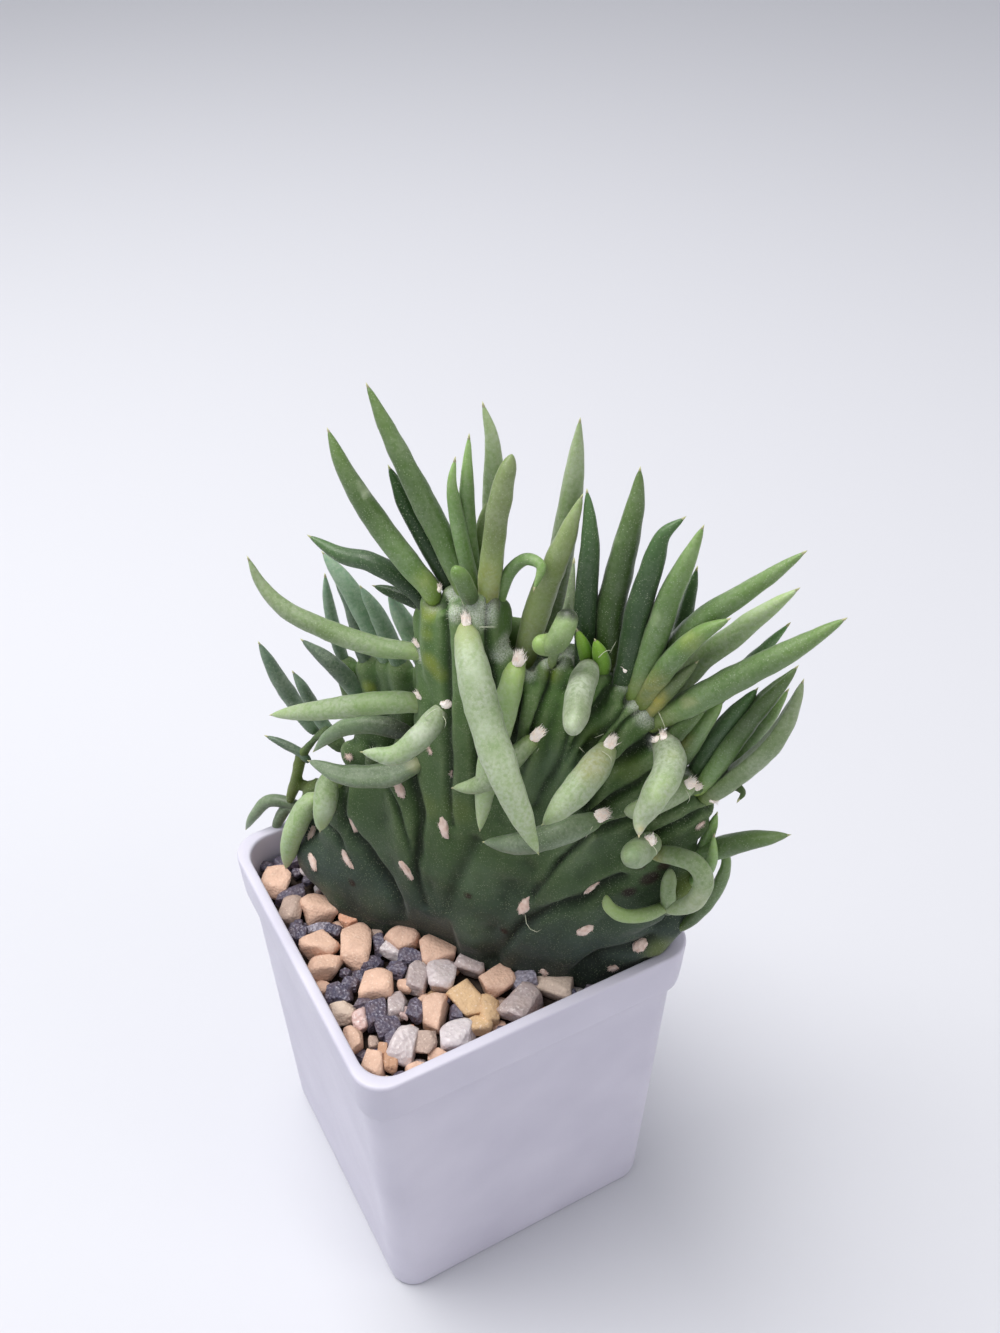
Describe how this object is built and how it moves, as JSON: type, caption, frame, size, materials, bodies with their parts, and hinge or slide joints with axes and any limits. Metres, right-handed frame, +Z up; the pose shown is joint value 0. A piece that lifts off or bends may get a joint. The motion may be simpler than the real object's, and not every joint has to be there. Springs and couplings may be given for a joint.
{
  "type": "potted crested eves needle cactus",
  "caption": "Crested eves needle cactus: a fan-shaped stem of finger-like tubercles with long needle leaves, in a small square plastic pot topped with mixed gravel",
  "frame": {"origin": "middle of the pot's underside, on the surface it stands on", "axes": "+Z up; X and Y along the pot's sides; the fan of the stem lies along the pot's diagonal, from -X +Y to +X -Y; its better side faces -X -Y"},
  "size_m": [0.0785, 0.0863, 0.1893],
  "materials": {
    "pot": "satin white injection-moulded plastic with a faint lilac cast",
    "soil": "dark loose potting soil",
    "gravel": "dry rounded gravel in beige, slate and pale quartz",
    "plant": "waxy green skin with pale bloom, spots of pinkish wool at the knobs"
  },
  "bodies": {
    "root": {"pot": "pot", "soil": "soil", "gravel": "gravel", "crested_cactus": "plant"}
  },
  "joints": []
}
